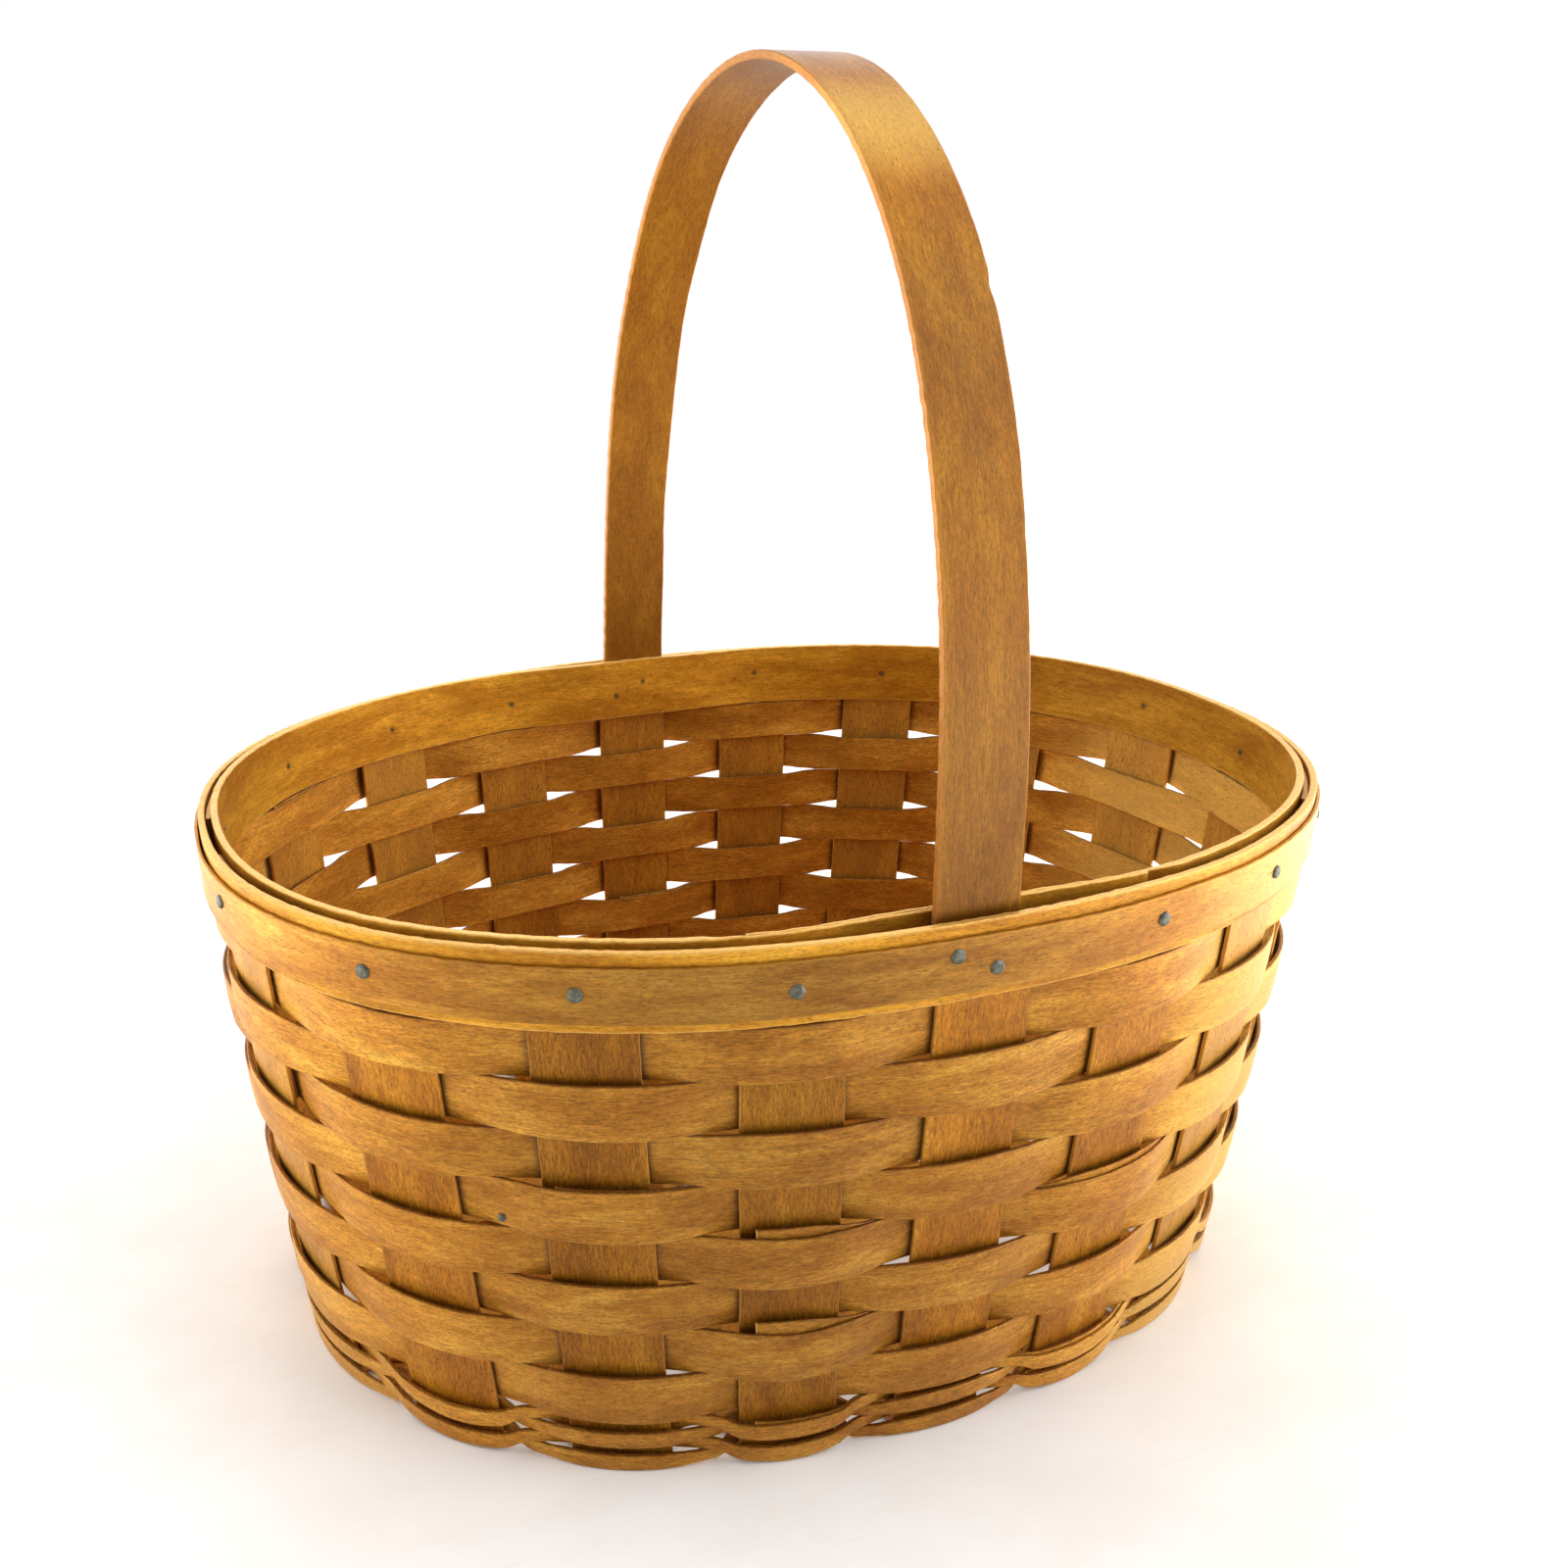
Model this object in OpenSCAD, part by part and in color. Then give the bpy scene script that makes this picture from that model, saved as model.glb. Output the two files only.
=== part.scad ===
// Woven splint market basket with a fixed bentwood handle.
// The origin is the middle of the underside, +X runs along the long side and +Z is up.
// The body is an oval wall that narrows towards the foot. Nine long splints cross in the
// base and turn up as eighteen uprights. Closed weaver rows pass outside one upright and
// inside the next, and two rim bands hold the uprights' tops and the handle's tails.

/* [Body] */
// Length of the wall at the rim, through the middle of the uprights
rim_length = 369; // [340:1:460]
// Width of the wall at the rim, through the middle of the uprights
rim_width = 252; // [220:1:320]
// How far each end of the wall draws in from the rim to the foot
end_flare = 23.5; // [10:1:40]
// How far each side of the wall draws in from the rim to the foot
side_flare = 13; // [4:1:26]
// Height of the rim above the surface that the basket stands on
rim_height = 168; // [120:1:240]
// Squareness of the oval, where 2 is an ellipse
oval_power = 2.25; // [2:0.05:2.8]
// How late the wall draws in, where 1 is a straight taper
taper_power = 1.3; // [1:0.02:1.6]

/* [Splints] */
// Width of a long splint
splint_width = 28.6; // [20:0.2:32]
// Thickness of a long splint
splint_thick = 1.3; // [0.8:0.1:2]
// Spacing along the rim of the splints that run across the basket
cross_pitch = 55; // [50:0.5:56]
// Spacing along the rim of the splints that run along the basket
long_pitch = 55.5; // [50:0.5:60]
// Drop from the rim's top edge to the uprights' tops
upright_drop = 3.5; // [1:0.5:8]
// Height of the slanted corner where a splint turns up from the base
corner_rise = 2.5; // [2:0.1:4]

/* [Weavers] */
// Thickness of a weaver
weaver_thick = 1.3; // [0.8:0.1:2]
// Vertical gap between neighbouring rows
row_gap = 0.3; // [0.2:0.1:1]
// How far a weaver stands proud of the upright's middle
weave_bow = 1.2; // [0:0.1:2.5]
// Width of a narrow weaver at the foot
foot_weaver_width = 5.4; // [4:0.1:6]
// Spacing of the narrow weavers where they cross between uprights, pinched narrower
foot_row_pitch = 4.35; // [4:0.05:5]
// Gap between the two narrow weavers that pass outside an upright
foot_gap = 2.6; // [1:0.1:4]

/* [Rim] */
// Height of the inner rim band
inner_band_height = 23; // [16:0.5:32]
// Height of the outer rim band
outer_band_height = 22.4; // [16:0.2:32]
// Thickness of both rim bands
band_thick = 2.2; // [1.5:0.1:3.5]
// Drop from the inner band's top edge to the outer band's top edge
outer_band_drop = 1.2; // [0:0.1:3]
// Height of the trim strip
trim_height = 15.8; // [10:0.2:18]
// Thickness of the trim strip
trim_thick = 1.2; // [0.8:0.1:2]
// Drop from the outer band's top edge to the trim strip's top edge
trim_drop = 3.8; // [2:0.1:6]

/* [Handle] */
// Width of the handle strip
handle_width = 25.4; // [18:0.2:28]
// Thickness of the handle strip
handle_thick = 2.7; // [2:0.1:4]
// Height of the handle's top above the rim
handle_rise = 225; // [150:1:280]
// Fullness of the handle's shoulders, where 1 is an ellipse
shoulder_power = 0.78; // [0.6:0.02:1]

/* [Tacks] */
// Radius of a tack's head
tack_head_radius = 2.1; // [1.5:0.1:3]
// Height of a tack's domed head
tack_head_height = 0.9; // [0.5:0.1:1.5]
// Radius of a tack's shank
tack_shank_radius = 0.7; // [0.5:0.1:1]
// How far a tack's tip comes through the inner band
tack_tip = 0.5; // [0:0.1:1.5]
// Distance of each handle tack from the handle's middle line
handle_tack_offset = 5.3; // [3:0.1:9]
// Height of one handle tack above the other
handle_tack_step = 5; // [0:0.1:8]

/* [Fit] */
// Clearance between neighbouring strips
clearance = 0.3; // [0.2:0.05:0.5]

/* [Hidden] */
cross_count = 7;
long_count = 2;
full_rows = 8;
foot_rows = 4;
row_count = full_rows + foot_rows;
upright_count = 2 * (cross_count + long_count);

function numbered(name, count) = [for (i = [1:count]) str(name, "_", i)];

// Colours of the wood and the steel
splint_colour = [0.74, 0.52, 0.27];
weaver_colour = [0.78, 0.57, 0.31];
band_colour = [0.80, 0.59, 0.33];
handle_colour = [0.72, 0.49, 0.25];
tack_colour = [0.52, 0.53, 0.54];

// ---- The oval wall ----
// A place round the wall is the distance along the rim from the middle of the front,
// towards +X.

function oval_term(v) = sign(v) * pow(abs(v), 2 / oval_power);

// Distance along the rim against angle, over the quarter from front middle to end middle
quarter_steps = 180;
quarter_angles = [for (i = [0:quarter_steps]) -90 + 90 * i / quarter_steps];
quarter_points = [
    for (a = quarter_angles) [oval_term(cos(a)) * rim_length / 2, oval_term(sin(a)) * rim_width / 2]
];
quarter_arc = [
    for (i = 0, s = 0;
        i <= quarter_steps;
        s = s + (i < quarter_steps ? norm(quarter_points[i + 1] - quarter_points[i]) : 0), i = i + 1)
        s
];
arc_to_angle = [for (i = [0:quarter_steps]) [quarter_arc[i], quarter_angles[i]]];
quarter = quarter_arc[quarter_steps];
round_rim = 4 * quarter;

// Share of the whole taper that is reached at height z
function taper(z) = pow(max(0, rim_height - z) / rim_height, taper_power);
function half_length(z) = rim_length / 2 - end_flare * taper(z);
function half_width(z) = rim_width / 2 - side_flare * taper(z);

// How much shorter the wall is at height z than at the rim
function level_scale(z) = (half_length(z) + half_width(z)) / (rim_length + rim_width) * 2;

function wall_point(place, z) =
    let (
        s = place - round_rim * floor(place / round_rim),
        right = s <= 2 * quarter,
        from_middle = right ? s : round_rim - s,
        front = from_middle <= quarter,
        in_quarter = front ? from_middle : 2 * quarter - from_middle,
        a = lookup(in_quarter, arc_to_angle)
    )
    [
        (right ? 1 : -1) * oval_term(cos(a)) * half_length(z),
        (front ? 1 : -1) * oval_term(sin(a)) * half_width(z)
    ];

// Outward direction of the wall, level with the ground
tangent_reach = 2;
function wall_normal(place, z) =
    let (
        run = wall_point(place + tangent_reach, z) - wall_point(place - tangent_reach, z),
        unit = run / norm(run)
    )
    [unit.y, -unit.x];

// Point at a distance out from the middle of the wall
function wall_at(place, z, out) =
    let (p = wall_point(place, z) + out * wall_normal(place, z))
    [p.x, p.y, z];

// ---- Strips ----
// A strip is a run of sections with the same number of corners, closed into a ring or
// ended with flat caps.

module strip(sections, ring = false) {
    corners = len(sections[0]);
    count = len(sections);
    sides = [
        for (i = [0:count - (ring ? 1 : 2)], j = [0:corners - 1])
            let (
                here = i * corners,
                next = ((i + 1) % count) * corners,
                k = (j + 1) % corners
            )
            each [[here + j, here + k, next + k], [here + j, next + k, next + j]]
    ];
    caps = ring ? [] : [
        [for (j = [corners - 1:-1:0]) j],
        [for (j = [0:corners - 1]) (count - 1) * corners + j]
    ];
    polyhedron([for (section = sections) each section], concat(sides, caps));
}

// Section of a strip that stands on edge in the wall, between two heights
function standing_section(place, low, high, out, thick) = [
    wall_at(place, low, out + thick / 2),
    wall_at(place, high, out + thick / 2),
    wall_at(place, high, out - thick / 2),
    wall_at(place, low, out - thick / 2)
];

// ---- Uprights ----

middle_cross = (cross_count + 1) / 2;
middle_long = (long_count + 1) / 2;

// Places of the eighteen uprights, in order round the rim
upright_places = concat(
    [for (i = [0:middle_cross - 1]) i * cross_pitch],
    [for (i = [1:long_count]) quarter + (i - middle_long) * long_pitch],
    [for (i = [1:cross_count]) 2 * quarter + (i - middle_cross) * cross_pitch],
    [for (i = [1:long_count]) 3 * quarter + (i - middle_long) * long_pitch],
    [for (i = [1:middle_cross - 1]) round_rim + (i - middle_cross) * cross_pitch]
);

// Half a splint's width, as a distance along the rim
function splint_reach(z) = splint_width / 2 / level_scale(z);

// ---- Base levels ----
// The long splints pass under and over the cross splints, and their undersides are the
// surface that the basket stands on.

layer_step = splint_thick + clearance;
cross_level = layer_step + splint_thick / 2;
corner_height = cross_level + corner_rise;

// Points across a splint, as shares of its half width
lateral = [-1, -0.5, 0, 0.5, 1];

function reversed(list) = [for (i = [len(list) - 1:-1:0]) list[i]];

function upright_section(place, side, z) = concat(
    [for (j = lateral) wall_at(place + side * j * splint_reach(z), z, splint_thick / 2)],
    [for (j = reversed(lateral)) wall_at(place + side * j * splint_reach(z), z, -splint_thick / 2)]
);

// Points just inside the slanted corner, where the splint lies flat
function corner_points(place, side) = [
    for (j = lateral)
        wall_at(place + side * j * splint_reach(corner_height), corner_height, -corner_rise)
];

function at_level(points, z) = [for (p = points) [p.x, p.y, z]];

function flat_section(points, level) = concat(
    at_level(points, level - splint_thick / 2),
    reversed(at_level(points, level + splint_thick / 2))
);

// Heights of an upright's sections, from its top to the corner
upright_steps = 7;
upright_top = rim_height - upright_drop;
upright_heights = [
    for (i = [0:upright_steps]) upright_top + (corner_height - upright_top) * i / upright_steps
];

function upright_sections(place, side) = concat(
    [for (z = upright_heights) upright_section(place, side, z)],
    [flat_section(corner_points(place, side), cross_level)]
);

// The base lies straight once it is this far in from the corner
straight_inset = 14;

module cross_splint(number) {
    offset_place = (number - middle_cross) * cross_pitch;
    middle_x = wall_point(offset_place, corner_height).x;
    corner = corner_points(offset_place, 1);
    straight_y = -min([for (p = corner) abs(p.y)]) + straight_inset;
    across = [for (j = lateral) middle_x + j * splint_width / 2];
    front_straight = flat_section([for (x = across) [x, straight_y]], cross_level);
    back_straight = flat_section([for (x = across) [x, -straight_y]], cross_level);
    color(splint_colour)
        strip(concat(
            upright_sections(offset_place, 1),
            [front_straight, back_straight],
            reversed(upright_sections(2 * quarter - offset_place, -1))
        ));
}

// The long splints stay level this far past each cross splint
crossing_margin = 0.8;

module long_splint(number) {
    offset_place = (number - middle_long) * long_pitch;
    middle_y = wall_point(quarter + offset_place, corner_height).y;
    across = [for (j = lateral) middle_y + j * splint_width / 2];
    flat_half = splint_width / 2 + crossing_margin;
    crossings = [
        for (i = [cross_count:-1:1], end = [1, -1])
            let (
                x = wall_point((i - middle_cross) * cross_pitch, corner_height).x + end * flat_half,
                over = (i + number) % 2 == 0,
                level = cross_level + (over ? layer_step : -layer_step)
            )
            flat_section([for (y = across) [x, y]], level)
    ];
    color(splint_colour)
        strip(concat(
            upright_sections(quarter + offset_place, 1),
            crossings,
            reversed(upright_sections(3 * quarter - offset_place, -1))
        ));
}

// ---- Weaver rows ----
// Rows are counted from the rim down. The last rows, at the foot, are narrow. They cross
// one above the other between the uprights, and dip in pairs where they pass outside one.

weave_offset = splint_thick / 2 + clearance + weaver_thick / 2;
foot_rows_top = 2 * clearance + foot_rows * foot_row_pitch;
wall_rows_top = rim_height - outer_band_drop - outer_band_height - clearance;
row_pitch = (wall_rows_top - foot_rows_top) / full_rows;

function row_top(row) = row <= full_rows
    ? wall_rows_top - (row - 1) * row_pitch
    : foot_rows_top - (row - full_rows - 1) * foot_row_pitch;
function row_height(row) = row <= full_rows ? row_pitch - row_gap : foot_row_pitch - clearance / 2;

// Middle height of a narrow weaver at an upright, outside it or inside it. The lower two
// stand on the ground outside and on the corner inside, and the upper two above them.
function narrow_level(row, side) =
    let (upper = row <= full_rows + foot_rows / 2, outside = side > 0)
    clearance + foot_weaver_width / 2 + (outside ? 0 : corner_height)
    + (upper ? foot_weaver_width + (outside ? foot_gap : clearance) : 0);

// Share of the way back to its crossing height that a narrow weaver has come at the
// edges of an upright that it passes outside
edge_return = 0.3;

// A row's stations from one upright to the next. The bow is the half wave over the
// upright. Half way to the crossing point a narrow row is back at its crossing height.
function row_sections(row) =
    let (
        narrow = row > full_rows,
        height = row_height(row),
        high = row_top(row),
        low = high - height,
        middle = high - height / 2,
        reach = splint_reach(middle)
    )
    [
        for (k = [0:upright_count - 1])
            let (
                place = upright_places[k],
                after = k + 1 < upright_count ? upright_places[k + 1] : round_rim,
                crossing = (place + after) / 2,
                leaving = (place + reach + crossing) / 2,
                arriving = (after - reach + crossing) / 2,
                side = (k + row) % 2 == 0 ? 1 : -1,
                level = narrow ? narrow_level(row, side) : middle,
                width = narrow ? foot_weaver_width : height
            )
            each concat(
                [
                    for (j = lateral)
                        let (
                            turn = side > 0 ? edge_return * j * j : 0,
                            z = level + turn * (middle - level),
                            half = (width + turn * (height - width)) / 2
                        )
                        standing_section(
                            place + j * reach,
                            z - half,
                            z + half,
                            side * (weave_offset + weave_bow * cos(90 * j)),
                            weaver_thick
                        )
                ],
                narrow ? [standing_section(leaving, low, high, side * weave_offset / 2, weaver_thick)] : [],
                [standing_section(crossing, low, high, 0, weaver_thick)],
                narrow ? [standing_section(arriving, low, high, -side * weave_offset / 2, weaver_thick)] : []
            )
    ];

module weaver_row(row) {
    color(weaver_colour) strip(row_sections(row), ring = true);
}

// ---- Rim ----

outer_band_top = rim_height - outer_band_drop;
inner_band_out = -(splint_thick / 2 + clearance + band_thick / 2);
outer_band_out = splint_thick / 2 + clearance + band_thick / 2;
trim_gap = clearance / 2;
trim_out = outer_band_out + band_thick / 2 + trim_gap + trim_thick / 2;
trim_top = outer_band_top - trim_drop;
trim_face = trim_out + trim_thick / 2;

stations_per_upright = 6;
band_stations = stations_per_upright * upright_count;

// The inner band bends in round the handle's tails, a margin wider than the handle, and
// fades back to the uprights over some length to each side
bend_margin = 4;
bend_flat = handle_width / 2 + bend_margin;
bend_fade = 45;
function handle_bend(place) =
    let (
        near = min(abs(place), abs(place - 2 * quarter), abs(place - round_rim)),
        share = max(0, min(1, (near - bend_flat) / bend_fade))
    )
    (handle_thick + clearance) * (1 + cos(180 * share)) / 2;

function band_sections(low, high, out, thick, bent = false) = [
    for (i = [0:band_stations - 1])
        let (place = round_rim * i / band_stations)
        standing_section(place, low, high, out - (bent ? handle_bend(place) : 0), thick)
];

module inner_band() {
    color(band_colour)
        strip(
            band_sections(rim_height - inner_band_height, rim_height, inner_band_out, band_thick, bent = true),
            ring = true
        );
}

module outer_band() {
    color(band_colour)
        strip(
            band_sections(outer_band_top - outer_band_height, outer_band_top, outer_band_out, band_thick),
            ring = true
        );
}

module trim_strip() {
    color(band_colour)
        strip(band_sections(trim_top - trim_height, trim_top, trim_out, trim_thick), ring = true);
}

// ---- Handle ----
// The middle line of the strip, in the plane across the basket. Its tails stand between
// the inner band and the middle uprights.

handle_out = -(splint_thick / 2 + clearance + handle_thick / 2);
tail_end = rim_height - inner_band_height + clearance;
half_span = rim_width / 2 + handle_out;
handle_middle_rise = handle_rise - handle_thick / 2;
arch_step = 5;

function arch_point(a) = [
    half_span * cos(a),
    rim_height + handle_middle_rise * pow(max(0, sin(a)), shoulder_power)
];
tail_point = [half_width(tail_end) + handle_out, tail_end];
handle_line = concat(
    [tail_point],
    [for (a = [0:arch_step:180]) arch_point(a)],
    [[-tail_point.x, tail_point.y]]
);

function line_normal(line, i) =
    let (
        run = line[min(len(line) - 1, i + 1)] - line[max(0, i - 1)],
        unit = run / norm(run)
    )
    [unit.y, -unit.x];

function side_line(line, out) = [for (i = [0:len(line) - 1]) line[i] + out * line_normal(line, i)];

module handle() {
    outline = concat(
        side_line(handle_line, handle_thick / 2),
        reversed(side_line(handle_line, -handle_thick / 2))
    );
    color(handle_colour)
        rotate([90, 0, 90])
            translate([0, 0, -handle_width / 2])
                linear_extrude(handle_width)
                    polygon(outline);
}

// ---- Tacks ----
// A tack stands level, with its head on an outer face and its shank driven inwards.

tack_height = trim_top - trim_height / 2;
band_tack_depth = trim_face - inner_band_out + band_thick / 2 + tack_tip;
handle_tack_depth = band_tack_depth + handle_thick + clearance;

// The dome is the cap of a larger ball
dome_radius = (pow(tack_head_radius, 2) + pow(tack_head_height, 2)) / (2 * tack_head_height);

module tack(place, z, face, depth) {
    out = wall_normal(place, z);
    translate(wall_at(place, z, face))
        rotate([0, 90, atan2(out.y, out.x)])
            union() {
                rotate_extrude($fn = 32)
                    intersection() {
                        translate([0, tack_head_height - dome_radius]) circle(dome_radius, $fn = 96);
                        square([tack_head_radius, tack_head_height]);
                    }
                translate([0, 0, -depth]) cylinder(r = tack_shank_radius, h = depth, $fn = 24);
            }
}

// Every upright but the two under the handle has one tack
module rim_tacks() {
    color(tack_colour)
        for (k = [0:upright_count - 1])
            if (k % (upright_count / 2) != 0)
                tack(upright_places[k], tack_height, trim_face, band_tack_depth);
}

module handle_tacks() {
    color(tack_colour)
        for (middle = [0, 2 * quarter], side = [-1, 1])
            tack(
                middle + side * handle_tack_offset,
                tack_height - side * handle_tack_step / 2,
                trim_face,
                handle_tack_depth
            );
}

// One short tack pins the lapped end of the fourth row, low down between the second and
// third uprights from the handle, towards -X
pinned_row = 4;
pinned_upright = upright_count - 3;
pinned_drop = 0.8;
module weaver_tack() {
    z = row_top(pinned_row) - pinned_drop * row_height(pinned_row);
    place = (upright_places[pinned_upright] + upright_places[pinned_upright + 1]) / 2;
    color(tack_colour)
        tack(place, z, weaver_thick / 2, weaver_thick);
}

for (i = [1:cross_count])
    cross_splint(i);
for (i = [1:long_count])
    long_splint(i);
for (i = [1:row_count])
    weaver_row(i);
inner_band();
outer_band();
trim_strip();
handle();
rim_tacks();
handle_tacks();
weaver_tack();
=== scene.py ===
"""A woven market basket: splints, weavers, rim bands, bentwood handle and tacks.

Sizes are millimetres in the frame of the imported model, and become metres as each mesh is made.
A place round the wall is the distance along the rim from the middle of the front, towards +X.
"""

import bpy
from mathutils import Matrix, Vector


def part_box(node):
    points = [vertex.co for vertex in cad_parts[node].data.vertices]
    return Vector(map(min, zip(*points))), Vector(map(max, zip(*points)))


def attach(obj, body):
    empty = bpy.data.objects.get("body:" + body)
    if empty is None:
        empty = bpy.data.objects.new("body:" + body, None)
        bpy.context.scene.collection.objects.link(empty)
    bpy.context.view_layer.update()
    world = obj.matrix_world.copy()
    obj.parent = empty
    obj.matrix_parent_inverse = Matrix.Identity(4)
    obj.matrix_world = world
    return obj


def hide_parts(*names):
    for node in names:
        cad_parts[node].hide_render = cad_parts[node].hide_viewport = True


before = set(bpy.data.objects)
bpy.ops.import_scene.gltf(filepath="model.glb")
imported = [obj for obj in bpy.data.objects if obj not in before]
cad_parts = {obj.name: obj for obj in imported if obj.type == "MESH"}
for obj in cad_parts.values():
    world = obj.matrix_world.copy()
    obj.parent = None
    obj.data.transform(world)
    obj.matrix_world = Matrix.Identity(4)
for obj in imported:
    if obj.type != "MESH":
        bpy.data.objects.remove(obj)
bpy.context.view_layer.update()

import math

import bpy
import numpy as np
from mathutils import Matrix, Vector

MM = 0.001


def span_of(node, axis):
    """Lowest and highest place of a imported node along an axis, in millimetres."""
    return [round(corner[axis] / MM, 2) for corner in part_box(node)]


# ---- Sizes of the strips ----
CLEARANCE = 0.3
SPLINT_THICK, WEAVER_THICK, LAP_THICK = 1.3, 1.3, 0.9
BAND_THICK, TRIM_THICK, HANDLE_THICK = 2.2, 1.2, 2.7
LAYER_STEP = SPLINT_THICK + CLEARANCE
CUT_BEVEL, STATION_STEP, BAND_STEP = 0.15, 1.8, 2.4
SHARP_ANGLE = 38

# ---- Sizes of the wall ----
# They are those of the uprights' middles at the rim. The inner band and the handle lie just inside them.
INSIDE = SPLINT_THICK / 2 + CLEARANCE
INNER_BOTTOM, RIM_HEIGHT = span_of("inner_band", 2)
RIM_LENGTH = round(np.ptp(span_of("inner_band", 0)) + 2 * INSIDE, 2)
RIM_WIDTH = round(np.ptp(span_of("handle", 1)) + 2 * INSIDE, 2)
END_FLARE, SIDE_FLARE = 23.5, 13.0
OVAL_POWER, TAPER_POWER = 2.25, 1.3

# ---- Sizes of the splints ----
CROSS_COUNT, LONG_COUNT = 7, 2
CROSS_PITCH, LONG_PITCH = 55.0, 55.5
UPRIGHT_COUNT = 2 * (CROSS_COUNT + LONG_COUNT)
SPLINT_WIDTH = 28.6
UPRIGHT_DROP = 3.5
CROSS_LEVEL = LAYER_STEP + SPLINT_THICK / 2
CORNER_RADIUS = 2.9
CORNER_HEIGHT = CROSS_LEVEL + CORNER_RADIUS
# The base is straight up to this far from the corners, and then fans out to the upright over a longer way
STRAIGHT_INSET, FAN_LENGTH = 12.0, 18.0
# A long splint lies level this far beyond a cross splint's edges, and at its ends rises or dives this far on
LONG_FLAT, END_RISE = 0.8, 6.4
# Stations down the wall, round the corner, along the fan and over the base, and back up at the other end
STATION_COUNTS = (76, 9, 17, 120, 17, 9, 76)

# ---- Sizes of the rim ----
OUTER_BOTTOM, OUTER_TOP = span_of("outer_band", 2)
TRIM_BOTTOM, TRIM_TOP = span_of("trim_strip", 2)
WALL_TOP = OUTER_BOTTOM - CLEARANCE
INNER_OUT = -(INSIDE + BAND_THICK / 2)
OUTER_OUT = -INNER_OUT
TRIM_OUT = OUTER_OUT + BAND_THICK / 2 + CLEARANCE / 2 + TRIM_THICK / 2
# Where the trim strip is sprung off the outer band, over what reach, and how far: at the left, at the right
TRIM_SPRINGS = ((-240.0, 12.0, 0.24), (243.0, 10.0, 0.18))
BEND_FLAT, BEND_FADE = 16.7, 45.0
# The inner band's two ends lie on each other in front of the handle
INNER_LAP_START, INNER_LAP_END, INNER_LAP_FADE = -64.0, 57.0, 14.0
INNER_LAP_OUTER, INNER_LAP_INNER = 0.95, 1.1
OUTER_SEAM, TRIM_SEAM, SEAM_GAP = -258.0, -263.0, 0.1

# ---- Sizes of the weavers ----
FULL_ROWS, FOOT_ROWS = 8, 4
ROW_COUNT = FULL_ROWS + FOOT_ROWS
FOOT_WIDTH, FOOT_PITCH, FOOT_GAP = 5.4, 4.35, 2.6
FOOT_TOP = 2 * CLEARANCE + FOOT_ROWS * FOOT_PITCH
ROW_PITCH = (WALL_TOP - FOOT_TOP) / FULL_ROWS
INSIDE_FOOT_WIDTH, INSIDE_FOOT_LEVELS = 6.0, (13.7, 7.6)
EDGE_RETURN = 0.3
# How far the full weavers swing out and in, and how square their wave is, each at the back and at the front
SWING, SQUARENESS = (3.2, 2.75), (0.25, 0.10)
# Each row's first upright, where its lapped end starts, and how far its last end runs past there
LAP_START = (11, 6, 13, 16, 17, 8, 17, 12, 17, 12, 7, 10)
LAP_LENGTH = (76.0, 74.0, 78.0, 76.0, 181.0, 75.0, 77.0, 74.0, 181.0, 75.0, 76.0, 74.0)
LAP_FADE, LAP_CLEARANCE = 18.0, 0.12
# A lap's ends lie at an upright, at this share of its half width
LAP_TUCK = 0.72
# In these rows the covered layer shows above the other, which lies this much higher than the rest of the row
PEEK_ROWS = {5: -0.8, 7: -1.6, 9: 1.0}
# How high the covered layer shows, for how many half widths of an upright, and how high it does in a long lap
PEEK_RISE, PEEK_REACH, LONG_LAP_RISE = 2.2, 2.2, 1.7
PEEK_FADE, LIFT_REACH = 22.0, 16.0
# A lap's layers change sides while the row is this close to the wall's middle
LAYER_TURN = 1.6

# ---- How the hand-made weave has slipped ----
# The front reaches this far to each side of its middle, and then fades into the ends
FRONT_REACH, FRONT_FADE = 225.0, 80.0
# The front's uprights stand a little towards +X, and those on its left more so at the foot
FRONT_SLIP, FOOT_SLIP, FOOT_SLIP_END, FOOT_SLIP_FADE = 2.9, 4.4, -130.0, 180.0
# The rows sag on the right half of the front, most of all half way down this number of rows
ROW_SAG, SAG_PLACE, SAG_REACH, SAG_ROWS = 6.3, 60.0, 110.0, FULL_ROWS + 1.3

# ---- Sizes of the handle ----
HANDLE_WIDTH, HANDLE_TOP = round(np.ptp(span_of("handle", 0)), 2), span_of("handle", 2)[1]
SHOULDER_POWER = 0.78
HANDLE_OUT = -(INSIDE + HANDLE_THICK / 2)
TAIL_END = INNER_BOTTOM + CLEARANCE

# ---- Sizes of the tacks ----
TACK_RADIUS, TACK_RISE, SHANK_RADIUS, TIP_RADIUS = 2.1, 0.9, 0.7, 0.25
# How much of the shank is straight, and how far its tip stands out inside the rim
SHANK_STRAIGHT, TIP_REACH = 0.8, 0.5
# The head's profile from its middle to its rim, as shares of its radius and its rise
HEAD_PROFILE = ((0.0, 0.90), (0.50, 0.89), (0.76, 0.80), (0.92, 0.50), (1.0, 0.20), (0.98, 0.0))
TACK_HEIGHT = (TRIM_BOTTOM + TRIM_TOP) / 2 + 0.9
HANDLE_TACK_OFFSET, HANDLE_TACK_STEP, HANDLE_TACK_SLIP = 6.0, 5.0, -3.0
# The small tack in the fourth row, and how far it is above that row's lower edge
PINNED_ROW, PINNED_RISE, PINNED_SCALE = 4, 3.2, 0.58

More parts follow.
